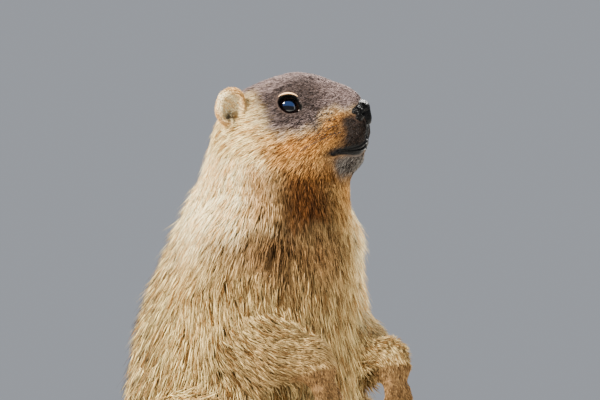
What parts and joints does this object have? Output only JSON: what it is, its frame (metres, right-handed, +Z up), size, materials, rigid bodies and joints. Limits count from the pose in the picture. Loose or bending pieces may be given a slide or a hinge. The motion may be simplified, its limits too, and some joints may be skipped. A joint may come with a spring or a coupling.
{
  "type": "steppe marmot model",
  "caption": "Still, life-size model of a young steppe marmot sitting upright on its haunches, forelegs hanging, head turned and raised, tail on the floor behind.",
  "frame": {"origin": "on the floor under the body's own axis, in the flat underside that the animal sits on", "axes": "+Z up, -Y the way the chest faces, +X the animal's left; the head is turned 28 degrees towards +X"},
  "size_m": [0.1651, 0.2881, 0.2834],
  "materials": {
    "coat": "soft fur, straw and cinnamon with dark tips",
    "head_coat": "short dense fur, dark brown cap and orange cheeks",
    "paw_coat": "short fur over leathery pads",
    "tail_coat": "long bristly locks with dark ends",
    "eye": "wet, glossy, almost black",
    "nose": "bare, finely grained, moist",
    "claw": "horn, half matt"
  },
  "bodies": {
    "root": {"nose": "nose", "head": "head_coat", "ear_right": "head_coat", "eye_right": "eye", "ear_left": "head_coat", "eye_left": "eye", "neck": "coat", "torso": "coat", "foreleg_right": "coat", "forepaw_right": "paw_coat", "claw_fore_right_1": "claw", "claw_fore_right_2": "claw", "claw_fore_right_3": "claw", "claw_fore_right_4": "claw", "foreleg_left": "coat", "forepaw_left": "paw_coat", "claw_fore_left_1": "claw", "claw_fore_left_2": "claw", "claw_fore_left_3": "claw", "claw_fore_left_4": "claw", "haunch_right": "coat", "hindfoot_right": "paw_coat", "claw_hind_right_1": "claw", "claw_hind_right_2": "claw", "claw_hind_right_3": "claw", "claw_hind_right_4": "claw", "claw_hind_right_5": "claw", "haunch_left": "coat", "hindfoot_left": "paw_coat", "claw_hind_left_1": "claw", "claw_hind_left_2": "claw", "claw_hind_left_3": "claw", "claw_hind_left_4": "claw", "claw_hind_left_5": "claw", "tail": "tail_coat"}
  },
  "joints": []
}
